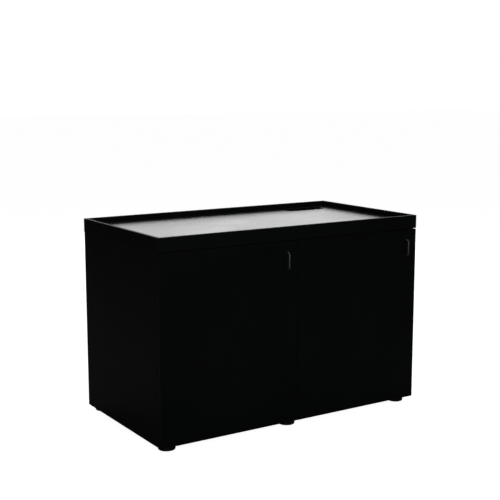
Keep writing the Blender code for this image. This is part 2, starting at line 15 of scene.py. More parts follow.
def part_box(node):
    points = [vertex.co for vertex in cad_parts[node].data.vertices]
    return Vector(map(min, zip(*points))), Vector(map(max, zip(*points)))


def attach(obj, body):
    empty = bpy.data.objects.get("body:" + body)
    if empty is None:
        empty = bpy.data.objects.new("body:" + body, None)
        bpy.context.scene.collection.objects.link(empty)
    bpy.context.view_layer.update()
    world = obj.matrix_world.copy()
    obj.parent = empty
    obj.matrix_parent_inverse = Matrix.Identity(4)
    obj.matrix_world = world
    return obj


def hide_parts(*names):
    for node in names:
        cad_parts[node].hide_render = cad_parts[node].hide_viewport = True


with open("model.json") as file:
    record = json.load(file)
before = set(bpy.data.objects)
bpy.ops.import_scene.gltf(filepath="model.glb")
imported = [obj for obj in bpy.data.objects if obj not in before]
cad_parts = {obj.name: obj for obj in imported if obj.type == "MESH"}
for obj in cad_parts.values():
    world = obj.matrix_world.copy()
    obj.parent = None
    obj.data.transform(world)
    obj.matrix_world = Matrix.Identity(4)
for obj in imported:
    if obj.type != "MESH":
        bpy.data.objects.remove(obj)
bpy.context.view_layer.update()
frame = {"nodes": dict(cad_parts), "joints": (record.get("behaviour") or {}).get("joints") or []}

SIDES = ("left", "right")
LEVELS = ("lower", "upper")
FEET = [f"{row}_{column}" for row in ("front", "rear") for column in ("left", "centre", "right")]
JOINTS = {joint["name"]: joint for joint in frame["joints"]}

# Camera: the picture's viewpoint, in metres and degrees.
CAMERA_PLACE = (-2.222, -3.423, 1.318)
CAMERA_YAW = 32.75
CAMERA_PITCH = 9.17
CAMERA_LENS = 72.9

# Strengths of the floor's and the sky's white, of the dim light from all round, and of
# what the floor throws back on the object.
FLOOR_GLOW = 0.95
SKY_GLOW = 1.02
WORLD_LIGHT = 0.045
FLOOR_BOUNCE = 0.25

# Edges that turn by more than this many degrees are bevelled.
SHARP_ANGLE = 40

# How near two points of a CAD solid are before they are joined, in metres.
WELD_REACH = 0.00001

# The sizes from here on are the hardware's, in metres, that its CAD boxes don't give.
# This is the gap that CAD solids keep where they touch.
PANEL_GAP = 0.0003

# Handles: the bar's bend, and the chamfer at its two ends.
HANDLE_BEND = 0.012
HANDLE_CHAMFER = 0.0004

# Feet: rolled lower edge, small edges, and the hole and recess for the screw. The sole
# stands on an outer ring and an inner hub, given as shares of the foot's radius.
FOOT_ROLL = 0.0028
FOOT_EDGE = 0.0008
FOOT_BORE = 0.0025
FOOT_RECESS = 0.008
FOOT_RECESS_RADIUS = 0.007
FOOT_RELIEF = 0.0010
FOOT_RING = 0.77
FOOT_HUB = 0.41
FOOT_DRAFT = 0.01

# Heights of the CAD screws' heads, and the radii of their shanks.
SCREW_HEADS = {"foot": 0.0028, "handle": 0.0024, "hinge": 0.0026}
SCREW_SHANKS = {"foot": 0.0020, "handle": 0.0020, "hinge": 0.0025}

# The small screws: head radius, head height, shank radius, length and thread pitch.
THREAD_PITCH = 0.0011
ADJUSTER_SCREW = (0.0032, 0.0012, 0.0018, 0.0035, 0.0007)
CUP_SCREW = (0.0034, 0.0009, 0.0016, 0.0120, THREAD_PITCH)
PLATE_SCREW = (0.0040, 0.0016, 0.0018, 0.0120, THREAD_PITCH)

# Shares that shape every screw: the thread's root and the blunt tip follow the shank's
# radius, the head's dome follows its height, and its flat and shoulder follow its radius.
THREAD_ROOT = 0.80
TIP_FLAT = 0.40
TIP_RISE = 0.30
HEAD_DOME = 0.55
HEAD_FLAT = 0.50
HEAD_SHOULDER = 0.55

# The cross recess: reach and depth follow the head's radius and height, the width of its
# arms and the narrow lower end follow its reach, and it starts above the head.
CROSS_REACH = 0.52
CROSS_DEPTH = 0.75
CROSS_ARM = 0.26
CROSS_TAPER = 0.45
CROSS_LIFT = 0.20

# Hinge arms, whose pin has riveted ends given by radius and height over the arm's side.
ARM_WALL = 0.0014
ARM_NOSE = 0.0034
ARM_THICKNESS = 0.0060
ARM_NECK = 0.0070
ARM_NECK_STEP = 0.0020
ARM_CRANK_LENGTH = 0.0100
ARM_CRANK_SLOPE = 0.9
ARM_HOLLOW_START = 0.0040
ARM_SLOT_HALF = 0.0064
ARM_SLOT_DEPTH = 0.005
ARM_EDGE = 0.0004
PIN_RADIUS = 0.0011
RIVET_END = (
    (0.0, 0.0005),
    (PIN_RADIUS * 1.3, 0.0003),
    (PIN_RADIUS * 1.6, -0.0002),
    (PIN_RADIUS, -0.0002),
)

# Hinge cups. The ears take up this share of the flange's thickness, at its middle.
CUP_CENTRE = 0.0125
CUP_RADIUS = 0.0175
CUP_WALL = 0.0010
CUP_FLOOR = 0.0007
CUP_LIP = 0.0003
CUP_EAR_HALF = 0.0065
CUP_EAR_CORNER = 0.004
CUP_EAR_SHARE = 0.90
CUP_SCREW_SPREAD = 0.024

# Links and plates, and where the arm's adjuster and the plate's screws sit.
PRESSED_EDGE = 0.00025
PLATE_THICKNESS = 0.0020
PLATE_SCREW_SPREAD = 0.016
PLATE_SCREW_SHIFT = 0.004
ADJUSTER_SHIFT = 0.020

# Bumpers: the share of the height that their dome starts from.
BUMPER_SHOULDER = 0.45

# Cam caps: places on the panels, and an outline in shares of the radius and height.
CAM_INSET = 0.034
CAM_SETBACK = 0.060
CAM_RADIUS = 0.0090
CAM_HEIGHT = 0.0009
CAM_OUTLINE = ((0.0, 0.45), (0.70, 0.45), (0.80, 1.0), (0.94, 1.0), (1.0, 0.5), (1.0, 0.0), (0.0, 0.0))
CAM_SLOT_HALF_WIDTH = 0.0007
CAM_SLOT_REACH = 0.5
CAM_SLOT_FLOOR = 0.2


# Camera, floor and light

def make_camera():
    camera = bpy.data.cameras.new("camera")
    camera.sensor_width = 36.0
    camera.lens = CAMERA_LENS
    camera.clip_start = 0.05
    camera.clip_end = 100.0
    obj = bpy.data.objects.new("camera", camera)
    obj.location = CAMERA_PLACE
    obj.rotation_euler = (math.radians(90 - CAMERA_PITCH), 0.0, math.radians(-CAMERA_YAW))
    bpy.context.scene.collection.objects.link(obj)
    bpy.context.scene.camera = obj


def make_floor():
    """A plain pale floor: white to the camera with a soft shadow, dim as a light source."""
    bm = bmesh.new()
    bmesh.ops.create_grid(bm, x_segments=2, y_segments=2, size=40.0)
    mesh = bpy.data.meshes.new("floor")
    bm.to_mesh(mesh)
    bm.free()
    floor = bpy.data.objects.new("floor", mesh)
    bpy.context.scene.collection.objects.link(floor)
    nodes = Nodes("floor_paper")
    seen = nodes.add("ShaderNodeLightPath").outputs["Is Camera Ray"]
    grain = nodes.noise(3.0, 3.0)
    nodes.link(nodes.ramp(grain, [(0.3, 0.79), (0.7, 0.81)]), nodes.shader.inputs["Base Color"])
    nodes.shader.inputs["Roughness"].default_value = 0.9
    nodes.shader.inputs["Specular IOR Level"].default_value = 0.1
    dim = nodes.add("ShaderNodeBsdfDiffuse")
    dim.inputs["Color"].default_value = (FLOOR_BOUNCE, FLOOR_BOUNCE, FLOOR_BOUNCE, 1.0)
    choice = nodes.add("ShaderNodeMixShader")
    nodes.link(seen, choice.inputs[0])
    nodes.link(dim.outputs[0], choice.inputs[1])
    nodes.link(nodes.shader.outputs[0], choice.inputs[2])
    glow = nodes.add("ShaderNodeEmission")
    nodes.link(nodes.maths("MULTIPLY", seen, FLOOR_GLOW), glow.inputs["Strength"])
    both = nodes.add("ShaderNodeAddShader")
    nodes.link(choice.outputs[0], both.inputs[0])
    nodes.link(glow.outputs[0], both.inputs[1])
    nodes.link(both.outputs[0], nodes.output.inputs["Surface"])
    mesh.materials.append(nodes.material)


def make_world():
    """White behind the object, and a dim even light from all round."""
    world = bpy.data.worlds.new("studio")
    bpy.context.scene.world = world
    world.use_nodes = True
    tree = world.node_tree
    tree.nodes.clear()
    output = tree.nodes.new("ShaderNodeOutputWorld")
    seen = tree.nodes.new("ShaderNodeLightPath")
    mix = tree.nodes.new("ShaderNodeMixShader")
    tree.links.new(seen.outputs["Is Camera Ray"], mix.inputs[0])
    for socket, level in zip(mix.inputs[1:], (WORLD_LIGHT, SKY_GLOW)):
        shade = tree.nodes.new("ShaderNodeBackground")
        shade.inputs["Color"].default_value = (level, level, level, 1.0)
        tree.links.new(shade.outputs[0], socket)
    tree.links.new(mix.outputs[0], output.inputs["Surface"])


def soft_light(name, place, aim, size, power):
    light = bpy.data.lights.new(name, "AREA")
    light.shape = "RECTANGLE"
    light.size, light.size_y = size
    light.energy = power
    obj = bpy.data.objects.new(name, light)
    obj.location = place
    obj.rotation_euler = (Vector(aim) - Vector(place)).to_track_quat("-Z", "Y").to_euler()
    bpy.context.scene.collection.objects.link(obj)


def make_lights():
    soft_light("overhead", (0.4, 0.8, 3.4), (0.0, 0.0, 0.4), (3.0, 3.0), 30.0)
    soft_light("left_box", (-4.0, 0.5, 2.4), (-0.3, 0.0, 0.4), (1.6, 2.4), 1.0)
    soft_light("front_box", (0.9, -4.2, 2.6), (0.0, 0.0, 0.5), (2.0, 1.6), 13.0)
    soft_light("camera_side_box", (-3.2, -5.0, 1.2), (0.0, -0.3, 0.6), (0.9, 1.8), 30.0)
    soft_light("rear_wall", (2.4, 4.4, 1.7), (0.4, 0.0, 0.8), (4.0, 2.0), 48.0)


# Node-based materials

class Nodes:
    """A material's node tree, with short calls for what the finishes below need."""

    def __init__(self, name):
        self.material = bpy.data.materials.new(name)
        self.material.use_nodes = True
        self.tree = self.material.node_tree
        self.shader = self.tree.nodes["Principled BSDF"]
        self.output = self.tree.nodes["Material Output"]
        self.place = self.add("ShaderNodeTexCoord")

    def add(self, kind):
        return self.tree.nodes.new(kind)

    def link(self, start, end):
        self.tree.links.new(start, end)

    def maths(self, operation, first, second=0.0):
        node = self.add("ShaderNodeMath")
        node.operation = operation
        for value, socket in zip((first, second), node.inputs):
            if isinstance(value, (int, float)):
                socket.default_value = value
            else:
                self.link(value, socket)
        return node.outputs[0]

    def stretched(self, scale):
        """Object coordinates, scaled apart along each axis."""
        node = self.add("ShaderNodeMapping")
        node.inputs["Scale"].default_value = scale
        self.link(self.place.outputs["Object"], node.inputs["Vector"])
        return node.outputs[0]

    def noise(self, scale, detail=4.0, roughness=0.5, vector=None, distortion=0.0):
        node = self.add("ShaderNodeTexNoise")
        node.inputs["Scale"].default_value = scale
        node.inputs["Detail"].default_value = detail
        node.inputs["Roughness"].default_value = roughness
        node.inputs["Distortion"].default_value = distortion
        self.link(vector or self.place.outputs["Object"], node.inputs["Vector"])
        return node.outputs["Fac"]

    def cells(self, scale, feature="F1"):
        node = self.add("ShaderNodeTexVoronoi")
        node.feature = feature
        node.inputs["Scale"].default_value = scale
        self.link(self.place.outputs["Object"], node.inputs["Vector"])
        return node.outputs["Distance"]

    def ramp(self, value, stops):
        """A colour ramp of (position, colour) stops; a number stands for a grey."""
        node = self.add("ShaderNodeValToRGB")
        elements = node.color_ramp.elements
        while len(elements) < len(stops):
            elements.new(0.5)
        for element, (position, colour) in zip(elements, stops):
            if isinstance(colour, (int, float)):
                colour = (colour, colour, colour)
            element.position = position
            element.color = (*colour, 1.0)
        self.link(value, node.inputs["Fac"])
        return node.outputs["Color"]

    def blend(self, share, first, second):
        node = self.add("ShaderNodeMix")
        node.data_type = "RGBA"
        self.link(share, node.inputs["Factor"])
        self.link(first, node.inputs["A"])
        self.link(second, node.inputs["B"])
        return node.outputs["Result"]

    def range(self, value, low, high):
        node = self.add("ShaderNodeMapRange")
        node.inputs["To Min"].default_value = low
        node.inputs["To Max"].default_value = high
        self.link(value, node.inputs["Value"])
        return node.outputs["Result"]

    def bump(self, height, strength, distance, below=None):
        node = self.add("ShaderNodeBump")
        node.inputs["Strength"].default_value = strength
        node.inputs["Distance"].default_value = distance
        self.link(height, node.inputs["Height"])
        if below is not None:
            self.link(below, node.inputs["Normal"])
        return node.outputs["Normal"]

    def facing(self, axis, least, most):
        """From 0 to 1 as a surface turns from across one axis (0, 1 or 2) to along it."""
        split = self.add("ShaderNodeSeparateXYZ")
        self.link(self.place.outputs["Normal"], split.inputs[0])
        node = self.add("ShaderNodeMapRange")
        node.inputs["From Min"].default_value = least
        node.inputs["From Max"].default_value = most
        self.link(self.maths("ABSOLUTE", split.outputs[axis]), node.inputs["Value"])
        return node.outputs["Result"]

    def set(self, **values):
        """Sets or links the shader's sockets; a socket's name has _ for its spaces."""
        for name, value in values.items():
            socket = self.shader.inputs[name.replace("_", " ")]
            if isinstance(value, (int, float, tuple)):
                socket.default_value = value
            else:
                self.link(value, socket)
        return self.material


def laminate(name, face_axis, roughness=0.40, shine=0.10):
    """Black melamine board with ABS banding on its edges.

    The faces look along face_axis (0, 1 or 2), and have a fine pearl grain and faint wiped
    smears. The banding has streaks along the board, and where it rounds over to the face it
    has a painted highlight: a little lighter, broken up by the streaks.
    """
    nodes = Nodes(name)
    face = nodes.facing(face_axis, 0.90, 0.97)
    clouds = nodes.noise(5.0, 5.0, 0.6)
    pearl = nodes.noise(900.0, 3.0, 0.6)
    grain = nodes.cells(420.0)
    streaks = nodes.noise(60.0, 4.0, 0.6, nodes.stretched((1.0, 1.0, 0.04)))
    smears = nodes.noise(2.2, 3.0, 0.5, distortion=1.2)
    face_colour = nodes.ramp(clouds, [
        (0.30, (0.0060, 0.0072, 0.0071)),
        (0.72, (0.0088, 0.0103, 0.0101)),
    ])
    band_colour = nodes.ramp(streaks, [
        (0.30, (0.0080, 0.0090, 0.0090)),
        (0.75, (0.0125, 0.0138, 0.0138)),
    ])
    # Painted highlight: the rounded-over band of the edging is painted lighter, more so along the
    # streaks.
    corner = nodes.maths("SUBTRACT", nodes.facing(face_axis, 0.15, 0.55), face)
    painted_highlight = nodes.maths("MULTIPLY", corner, nodes.range(streaks, 0.2, 0.9))
    painted_highlight_colour = nodes.ramp(streaks, [(0.2, 0.014), (0.8, 0.024)])
    colour = nodes.blend(face, band_colour, face_colour)
    wiped = nodes.range(smears, roughness - 0.06, roughness + 0.08)
    gloss = nodes.maths("ADD", wiped, nodes.range(pearl, -0.03, 0.03))
    relief = nodes.bump(grain, 0.10, 0.00010, nodes.bump(pearl, 0.20, 0.00012))
    return nodes.set(
        Base_Color=nodes.blend(painted_highlight, colour, painted_highlight_colour),
        Roughness=gloss,
        Specular_IOR_Level=shine,
        Normal=relief,
    )


def dark_metal(name):
    """Graphite powder coat over steel: a faint orange peel, and a soft metallic sheen."""
    nodes = Nodes(name)
    peel = nodes.noise(700.0, 2.0, 0.5)
    flakes = nodes.cells(2600.0)
    patches = nodes.noise(60.0, 3.0)
    return nodes.set(
        Base_Color=nodes.blend(
            nodes.range(flakes, 0.0, 0.5),
            nodes.ramp(patches, [(0.3, (0.135, 0.138, 0.145)), (0.7, (0.175, 0.178, 0.185))]),
            nodes.ramp(patches, [(0.3, 0.22), (0.7, 0.26)]),
        ),
        Metallic=0.85,
        Roughness=nodes.range(patches, 0.30, 0.40),
        Normal=nodes.bump(peel, 0.25, 0.0001),
    )


def black_plastic(name):
    """Moulded plastic with a spark-eroded grain and scuffs."""
    nodes = Nodes(name)
    grain = nodes.cells(1400.0)
    patches = nodes.noise(90.0, 3.0)
    scuffs = nodes.noise(35.0, 6.0, 0.7, distortion=0.8)
    return nodes.set(
        Base_Color=nodes.blend(
            nodes.range(scuffs, -0.35, 0.9),
            nodes.ramp(patches, [(0.3, 0.0060), (0.7, 0.0095)]),
            nodes.ramp(patches, [(0.3, 0.011), (0.7, 0.016)]),
        ),
        Roughness=nodes.range(scuffs, 0.36, 0.60),
        Specular_IOR_Level=0.32,
        Normal=nodes.bump(grain, 0.30, 0.00015),
    )


def nickel(name):
    """Nickel-plated pressed steel: faint rolling lines and small scuffs."""
    nodes = Nodes(name)
    lines = nodes.noise(300.0, 3.0, 0.6, nodes.stretched((6.0, 1.0, 0.5)))
    patches = nodes.noise(120.0, 4.0)
    return nodes.set(
        Base_Color=nodes.ramp(patches, [(0.25, (0.55, 0.54, 0.51)), (0.75, (0.68, 0.67, 0.64))]),
        Metallic=1.0,
        Roughness=nodes.range(lines, 0.20, 0.34),
        Normal=nodes.bump(lines, 0.12, 0.00005),
    )


def zinc(name):
    """Zinc-plated screw steel, slightly mottled."""
    nodes = Nodes(name)
    spangle = nodes.cells(900.0)
    patches = nodes.noise(200.0, 4.0)
    return nodes.set(
        Base_Color=nodes.ramp(spangle, [(0.0, (0.50, 0.51, 0.50)), (0.8, (0.62, 0.61, 0.56))]),
        Metallic=1.0,
        Roughness=nodes.range(patches, 0.28, 0.44),
        Normal=nodes.bump(patches, 0.15, 0.00005),
    )


def clear_rubber(name):
    """Soft clear polyurethane, a little cloudy."""
    nodes = Nodes(name)
    haze = nodes.noise(500.0, 3.0)
    return nodes.set(
        Base_Color=nodes.ramp(haze, [(0.3, (0.72, 0.74, 0.74)), (0.7, (0.84, 0.85, 0.85))]),
        Roughness=nodes.range(haze, 0.18, 0.32),
        Transmission_Weight=0.75,
        IOR=1.48,
        Normal=nodes.bump(haze, 0.1, 0.0001),
    )


def make_materials():
    return {
        "board_x": laminate("black_laminate_x", 0),
        "board_y": laminate("black_laminate_y", 1),
        "board_z": laminate("black_laminate_z", 2, 0.34),
        "bed": laminate("bed_laminate", 2, 0.26, 0.50),
        "door": laminate("door_laminate", 1, 0.36),
        "rim_x": laminate("rim_laminate_x", 0, 0.48),
        "rim_y": laminate("rim_laminate_y", 1, 0.48),
        "handle": dark_metal("handle_powder_coat"),
        "plastic": black_plastic("foot_plastic"),
        "nickel": nickel("hinge_nickel"),
        "zinc": zinc("screw_zinc"),
        "rubber": clear_rubber("bumper_rubber"),
    }


# Shapes

def solid(name, bm):
    """An object from a closed bmesh, with its faces pointing out."""
    mesh = bpy.data.meshes.new(name)
    bmesh.ops.recalc_face_normals(bm, faces=bm.faces)
    bm.to_mesh(mesh)
    bm.free()
    obj = bpy.data.objects.new(name, mesh)
    bpy.context.scene.collection.objects.link(obj)
    return obj


def joined_rings(rings, closed=False):
    """Faces between rings of points; a ring of one point is a tip."""
    bm = bmesh.new()
    loops = [[bm.verts.new(point) for point in ring] for ring in rings]
    steps = max(len(ring) for ring in rings)
    pairs = list(zip(loops, loops[1:]))
    if closed:
        pairs.append((loops[-1], loops[0]))
    for above, below in pairs:
        for i in range(steps):
            j = (i + 1) % steps
            corners = [above[i % len(above)], below[i % len(below)]]
            corners += [below[j % len(below)], above[j % len(above)]]
            bm.faces.new(list(dict.fromkeys(corners)))
    return bm


def turned(profile, steps=48):
    """A closed body from (radius, z) points turned about Z.

    A profile that starts and ends on the axis makes a solid, and any other is joined
    from its last point back to its first, which makes a ring.
    """
    rings = []
    for radius, z in profile:
        if radius == 0.0:
            rings.append([(0.0, 0.0, z)])
            continue
        angles = [2 * math.pi * i / steps for i in range(steps)]
        rings.append([(radius * math.cos(a), radius * math.sin(a), z) for a in angles])
    return joined_rings(rings, closed=len(rings[0]) > 1)


def prism(outline, low, high):
    """An outline of (x, y) points, thick along Z."""
    bm = joined_rings([[(x, y, z) for x, y in outline] for z in (low, high)])
    bm.verts.ensure_lookup_table()
    bm.faces.new(bm.verts[:len(outline)])
    bm.faces.new(bm.verts[len(outline):])
    return bm


def block(low, high):
    bm = bmesh.new()
    low = Vector(low)
    high = Vector(high)
    bmesh.ops.create_cube(bm, size=1.0, matrix=Matrix.LocRotScale((low + high) / 2, None, high - low))
    return bm


def arc(centre, radius, start, end, steps=6):
    """Points of an arc in a plane, between two angles in degrees."""
    points = []
    for i in range(steps + 1):
        angle = math.radians(start + (end - start) * i / steps)
        points.append((centre[0] + radius * math.cos(angle), centre[1] + radius * math.sin(angle)))
    return points


def rounded_rectangle(centre, half_x, half_y, radius):
    points = []
    for quarter, (sign_x, sign_y) in enumerate(((1, 1), (-1, 1), (-1, -1), (1, -1))):
        corner = (centre[0] + sign_x * (half_x - radius), centre[1] + sign_y * (half_y - radius))
        points += arc(corner, radius, 90 * quarter, 90 * quarter + 90)
    return points


def shaped(obj, tools, operation="DIFFERENCE"):
    """Cuts the tools from an object, or joins them to it, and removes them."""
    for tool in tools:
        modifier = obj.modifiers.new(tool.name, "BOOLEAN")
        modifier.operation = operation
        modifier.object = tool
    graph = bpy.context.evaluated_depsgraph_get()
    mesh = bpy.data.meshes.new_from_object(obj.evaluated_get(graph))
    obj.modifiers.clear()
    obj.data = mesh
    for tool in tools:
        bpy.data.objects.remove(tool)
    return obj


def finished(obj, finish, bevel=0.0, smooth=35.0):
    """The final mesh of a shape, in its material; the shape itself is removed."""
    if bevel > 0.0:
        modifier = obj.modifiers.new("edges", "BEVEL")
        modifier.width = bevel
        modifier.segments = 2
        modifier.limit_method = "ANGLE"
        modifier.angle_limit = math.radians(SHARP_ANGLE)
        modifier.harden_normals = True
    graph = bpy.context.evaluated_depsgraph_get()
    mesh = bpy.data.meshes.new_from_object(obj.evaluated_get(graph))
    mesh.materials.clear()
    mesh.materials.append(MATERIALS[finish])
    if bevel == 0.0:
        mesh.shade_smooth()
        mesh.set_sharp_from_angle(angle=math.radians(smooth))
    bpy.data.objects.remove(obj)
    return mesh


def put(name, mesh, place, body, node=None, turn=None):
    """Places a copy of a finished mesh, which rides on a body and may stand for a CAD node."""
    obj = bpy.data.objects.new(name, mesh.copy())
    obj.matrix_world = Matrix.Translation(place) @ (turn or Matrix.Identity(4))
    bpy.context.scene.collection.objects.link(obj)
    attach(obj, body)
    if node is not None:
        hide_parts(node)
    return obj


def middle(node):
    low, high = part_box(node)
    return (low + high) / 2


def size(node):
    low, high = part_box(node)
    return high - low


# Handles and feet

def bow_handle_mesh(reach, spacing, radius, sides=32):
    """Round bar bent to a bow: y = 0 is the door's face, and it stands out towards -Y."""
    half = spacing / 2
    corner = (reach - HANDLE_BEND, half - HANDLE_BEND)
    upper = [(0.0, half), (HANDLE_CHAMFER, half), (corner[0] * 0.5, half)]
    upper += arc(corner, HANDLE_BEND, 90, 0, 14)
    path = upper + [(y, -z) for y, z in reversed(upper)]
    across = Vector((1.0, 0.0, 0.0))
    angles = [2 * math.pi * k / sides for k in range(sides)]
    rings = [[Vector((0.0, 0.0, half))]]
    for i, (y, z) in enumerate(path):
        before = path[max(i - 1, 0)]
        after = path[min(i + 1, len(path) - 1)]
        along = Vector((0.0, before[0] - after[0], after[1] - before[1])).normalized()
        aside = along.cross(across)
        width = radius - HANDLE_CHAMFER if y == 0.0 else radius
        centre = Vector((0.0, -y, z))
        rings.append([centre + width * (math.cos(a) * across + math.sin(a) * aside) for a in angles])
    rings.append([Vector((0.0, 0.0, -half))])
    return finished(solid("bow_handle", joined_rings(rings)), "handle")


def make_handles():
    for side in SIDES:
        node = "handle_" + side
        low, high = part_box(node)
        radius = (high.x - low.x) / 2
        reach = high.y - low.y - radius
        spacing = high.z - low.z - 2 * radius
        mesh = bow_handle_mesh(reach, spacing, radius)
        centre = (low + high) / 2
        put("bow_" + node, mesh, (centre.x, high.y, centre.z), side + "_leaf", node)


def foot_mesh(radius, height):
    """A moulded foot: rolled lower edge, relieved sole and a recess for its screw."""
    profile = arc((radius - FOOT_EDGE, height - FOOT_EDGE), FOOT_EDGE, 90, 0, 4)
    profile += arc((radius - FOOT_ROLL, FOOT_ROLL), FOOT_ROLL, 0, -90, 8)
    profile += [
        (radius * (FOOT_RING + FOOT_DRAFT), 0.0),
        (radius * (FOOT_RING - FOOT_DRAFT), FOOT_RELIEF),
        (radius * (FOOT_HUB + FOOT_DRAFT), FOOT_RELIEF),
        (radius * (FOOT_HUB - FOOT_DRAFT), 0.0),
        (FOOT_RECESS_RADIUS + FOOT_EDGE, 0.0),
        (FOOT_RECESS_RADIUS, FOOT_EDGE),
        (FOOT_RECESS_RADIUS, FOOT_RECESS),
        (FOOT_BORE, FOOT_RECESS),
        (FOOT_BORE, height),
    ]
    return finished(solid("foot", turned(profile, 72)), "plastic")


def make_feet():
    spread = size("foot_front_left")
    mesh = foot_mesh(spread.x / 2, spread.z)
    for place in FEET:
        node = "foot_" + place
        centre = middle(node)
        put("round_" + node, mesh, (centre.x, centre.y, 0.0), "carcass", node)


# Screws: along Z, with the head's underside at z = 0 and the tip pointing up

def cross_cutter(reach, depth, top):
    """A tapered cross whose wide end is near z = top, and which goes up by depth."""
    rings = []
    for scale, z in ((1.0, top - depth * CROSS_LIFT), (CROSS_TAPER, top + depth)):
        wide = reach * scale
        slim = wide * CROSS_ARM
        quarter = [(wide, -slim), (wide, slim), (slim, slim)]
        ring = []
        for cosine, sine in ((1, 0), (0, 1), (-1, 0), (0, -1)):
            ring += [(x * cosine - y * sine, x * sine + y * cosine, z) for x, y in quarter]
        rings.append(ring)
    rings.insert(0, [(0.0, 0.0, rings[0][0][2])])
    rings.append([(0.0, 0.0, rings[-1][0][2])])
    return solid("cross", joined_rings(rings))


def screw_mesh(finish, head_radius, head_height, shank_radius, length, pitch=THREAD_PITCH):
    """A pan-head screw with a cross recess and a rolled thread."""
    root = shank_radius * THREAD_ROOT
    profile = [(0.0, length), (root * TIP_FLAT, length - shank_radius * TIP_RISE)]
    for i in range(int((length - 2 * shank_radius) / pitch)):
        crest = length - shank_radius - pitch * i
        profile += [(root, crest), (shank_radius, crest - pitch * 0.5)]
    dome = head_height * HEAD_DOME
    profile += [(root, 0.0), (head_radius, 0.0), (head_radius, -head_height + dome)]
    for i in range(1, 5):
        angle = math.pi / 2 * i / 5
        crown = HEAD_SHOULDER + (1 - HEAD_SHOULDER) * math.cos(angle)
        profile.append((head_radius * crown, -head_height + dome * (1 - math.sin(angle))))
    profile += [(head_radius * HEAD_FLAT, -head_height), (0.0, -head_height)]
    screw = solid("screw", turned(profile, 32))
    cross = cross_cutter(head_radius * CROSS_REACH, head_height * CROSS_DEPTH, -head_height)
    return finished(shaped(screw, [cross]), finish)


POINT_FRONT = Matrix.Rotation(math.radians(90), 4, "X")
POINT_BACK = Matrix.Rotation(math.radians(-90), 4, "X")
POINT_LEFT = Matrix.Rotation(math.radians(-90), 4, "Y")


def make_foot_screws():
    head = SCREW_HEADS["foot"]
    spread = size("foot_screw_" + FEET[0])
    mesh = screw_mesh("zinc", spread.x / 2, head, SCREW_SHANKS["foot"], spread.z - head)
    for place in FEET:
        node = "foot_screw_" + place
        low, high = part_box(node)
        seat = ((low.x + high.x) / 2, (low.y + high.y) / 2, low.z + head)
        put("pan_" + node, mesh, seat, "carcass", node)


def make_handle_screws():
    head = SCREW_HEADS["handle"]
    spread = size("handle_screw_left_lower")
    mesh = screw_mesh("zinc", spread.x / 2, head, SCREW_SHANKS["handle"], spread.y - head)
    for side in SIDES:
        for level in LEVELS:
            node = f"handle_screw_{side}_{level}"
            low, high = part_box(node)
            seat = ((low.x + high.x) / 2, high.y - head, (low.z + high.z) / 2)
            put("pan_" + node, mesh, seat, side + "_leaf", node, POINT_FRONT)


# Hinges: shapes have the arm's or the cup's pin at zero, and z = 0 at the hinge's middle

def arm_mesh(node, plate_node, pin):
    """A channel-section arm with a round nose on its pin, riveted and cranked to its plate."""
    low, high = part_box(node)
    half = (high.z - low.z) / 2
    back = high.y - pin.y
    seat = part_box(plate_node)[1].x - pin.x + PANEL_GAP
    top = seat + ARM_THICKNESS
    crank = ARM_NECK + max(ARM_CRANK_LENGTH, -seat * ARM_CRANK_SLOPE)
    outline = arc((0.0, 0.0), ARM_NOSE, 180, 360, 16) + [
        (ARM_NOSE, ARM_NECK),
        (top, crank),
        (top, back),
        (seat, back),
        (seat, crank),
        (-ARM_NOSE, ARM_NECK - ARM_NECK_STEP),
    ]
    arm = solid("arm", prism(outline, -half, half))
    inside = [
        (seat - ARM_THICKNESS, crank + ARM_HOLLOW_START),
        (top - ARM_WALL, crank + ARM_HOLLOW_START),
        (top - ARM_WALL, back - ARM_WALL),
        (seat - ARM_THICKNESS, back - ARM_WALL),
    ]
    hollow = solid("hollow", prism(inside, -half + ARM_WALL, half - ARM_WALL))
    slot_low = (-2 * ARM_NOSE, -2 * ARM_NOSE, -ARM_SLOT_HALF)
    slot_high = (2 * ARM_NOSE, ARM_SLOT_DEPTH, ARM_SLOT_HALF)
    shaped(arm, [hollow, solid("slot", block(slot_low, slot_high))])
    rivet = [(radius, half + rise) for radius, rise in RIVET_END]
    rivet += [(radius, -half - rise) for radius, rise in reversed(RIVET_END)]
    shaped(arm, [solid("rivet", turned(rivet, 24))], "UNION")
    return finished(arm, "nickel", bevel=ARM_EDGE)


